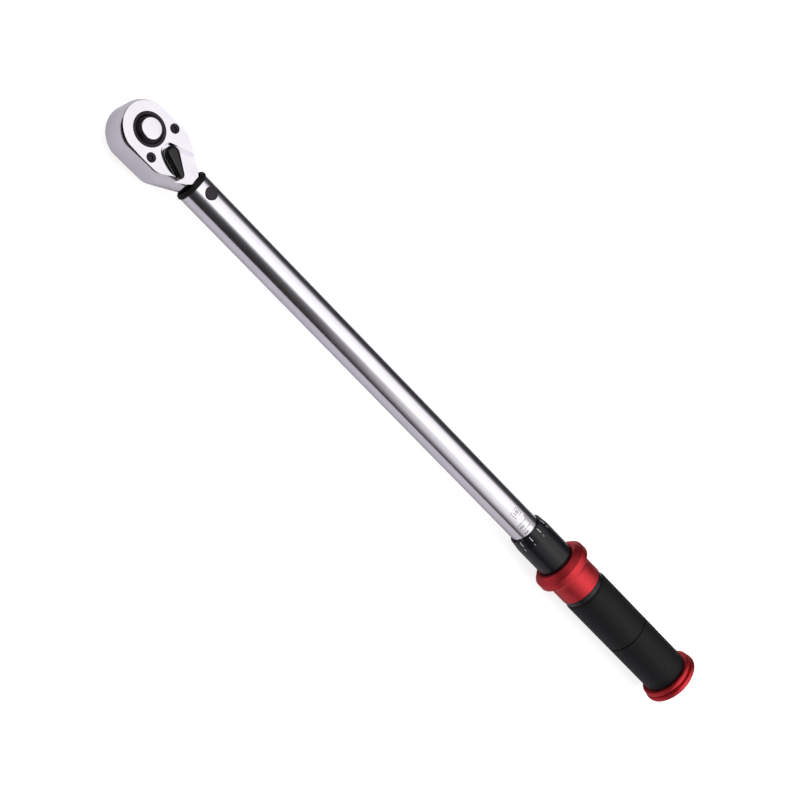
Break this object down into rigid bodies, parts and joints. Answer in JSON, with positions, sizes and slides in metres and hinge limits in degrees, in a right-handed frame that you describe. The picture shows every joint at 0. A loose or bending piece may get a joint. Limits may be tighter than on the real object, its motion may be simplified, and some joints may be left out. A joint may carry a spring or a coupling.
{
  "type": "click-type torque wrench",
  "caption": "Long click-type torque wrench with a reversible ratchet head, square drive, graduated turning handle and sliding lock collar.",
  "frame": {"origin": "centre of the square drive's end face", "axes": "+X from the drive along the wrench to the handle's end, +Z from the square drive up to the side with the reversing lever, +Y to the left looking along +X"},
  "size_m": [0.6472, 0.0478, 0.0514],
  "materials": {
    "chrome": "satin-bright chrome plate",
    "black_steel": "blackened steel",
    "lever_black": "glossy black",
    "gunmetal": "dark ground steel",
    "tool_steel": "ground",
    "spring_steel": "oiled",
    "brass": "turned",
    "seal_rubber": "matte black",
    "black_sleeve": "satin black anodised",
    "red_anodised": "red anodised aluminium",
    "black_grip": "fine textured black"
  },
  "bodies": {
    "barrel": {"tube": "chrome", "seal_ring": "seal_rubber", "pivot_pin": "gunmetal", "main_spring": "spring_steel", "fixed_nut": "brass", "nut_pin_1": "tool_steel", "nut_pin_2": "tool_steel"},
    "head": {"head_body": "chrome", "cover_plate": "chrome", "cover_screw_1": "black_steel", "cover_screw_2": "black_steel", "pawl_pin": "tool_steel"},
    "gear": {"ratchet_gear": "black_steel", "button_spring": "spring_steel"},
    "button": {"release_button": "chrome"},
    "ball": {"detent_ball": "tool_steel"},
    "lever": {"reverse_lever": "lever_black", "pawl_plunger": "tool_steel", "plunger_spring": "spring_steel"},
    "pawl": {"pawl": "tool_steel"},
    "block": {"click_block": "tool_steel"},
    "plunger": {"thrust_plunger": "tool_steel"},
    "seat": {"spring_seat": "tool_steel", "thrust_ball": "tool_steel", "seat_washer": "tool_steel"},
    "handle": {"adjusting_screw": "tool_steel", "graduated_sleeve": "black_sleeve", "retaining_ring": "spring_steel", "lock_spring": "spring_steel", "lock_ball_1": "tool_steel", "lock_ball_2": "tool_steel", "handle_core": "black_sleeve", "grip": "black_grip", "handle_hub": "tool_steel", "hub_pin_1": "tool_steel", "hub_pin_2": "tool_steel", "end_cap": "red_anodised", "end_screw": "black_steel"},
    "collar": {"lock_collar": "red_anodised"}
  },
  "joints": [
    {"name": "head_click", "type": "hinge", "parent": "barrel", "child": "head", "pos_m": [0.0625, 0, 0.0275], "axis": [0, 0, 1], "range_deg": [0, 3], "stiffness_Nm_per_rad": 40, "springref_deg": -5.73, "deforming": ["main_spring"]},
    {"name": "block_tip", "type": "hinge", "parent": "head", "child": "block", "pos_m": [0.1293, -0.0035, 0.0275], "axis": [0, 0, 1], "range_deg": [-24, 0]},
    {"name": "plunger_lift", "type": "slide", "parent": "barrel", "child": "plunger", "axis": [1, 0, 0], "range_m": [0, 0.0022]},
    {"name": "drive_spin", "type": "hinge", "parent": "head", "child": "gear", "pos_m": [0, 0, 0.0275], "axis": [0, 0, 1], "continuous": true},
    {"name": "release_press", "type": "slide", "parent": "gear", "child": "button", "axis": [0, 0, -1], "range_m": [0, 0.0035], "stiffness_N_per_m": 1500, "springref_m": -0.002, "deforming": ["button_spring"]},
    {"name": "ball_retract", "type": "slide", "parent": "gear", "child": "ball", "axis": [0, 1, 0], "range_m": [0, 0.00095]},
    {"name": "reverse_flip", "type": "hinge", "parent": "head", "child": "lever", "pos_m": [0.0233, 0, 0.0275], "axis": [0, 0, 1], "range_deg": [0, 58]},
    {"name": "pawl_rock", "type": "hinge", "parent": "head", "child": "pawl", "pos_m": [0.0174, 0, 0.0275], "axis": [0, 0, 1], "range_deg": [-10.01, 0]},
    {"name": "setting_travel", "type": "slide", "parent": "barrel", "child": "seat", "axis": [-1, 0, 0], "range_m": [-0.02401, 0.01201], "deforming": ["main_spring"]},
    {"name": "handle_turn", "type": "hinge", "parent": "seat", "child": "handle", "pos_m": [0.5, 0, 0.0275], "axis": [-1, 0, 0], "range_deg": [-7200, 3600]},
    {"name": "collar_unlock", "type": "slide", "parent": "handle", "child": "collar", "axis": [-1, 0, 0], "range_m": [0, 0.004], "stiffness_N_per_m": 1200, "springref_m": -0.003, "deforming": ["lock_spring"]}
  ],
  "couplings": [
    {"joint": "block_tip", "follows": "head_click", "ratio": -7.73},
    {"joint": "plunger_lift", "follows": "head_click", "m_per_rad": 0.0401},
    {"joint": "ball_retract", "follows": "release_press", "ratio": 0.25714},
    {"joint": "pawl_rock", "follows": "reverse_flip", "ratio": -0.17241},
    {"joint": "setting_travel", "follows": "handle_turn", "m_per_rad": 0.00019099}
  ]
}
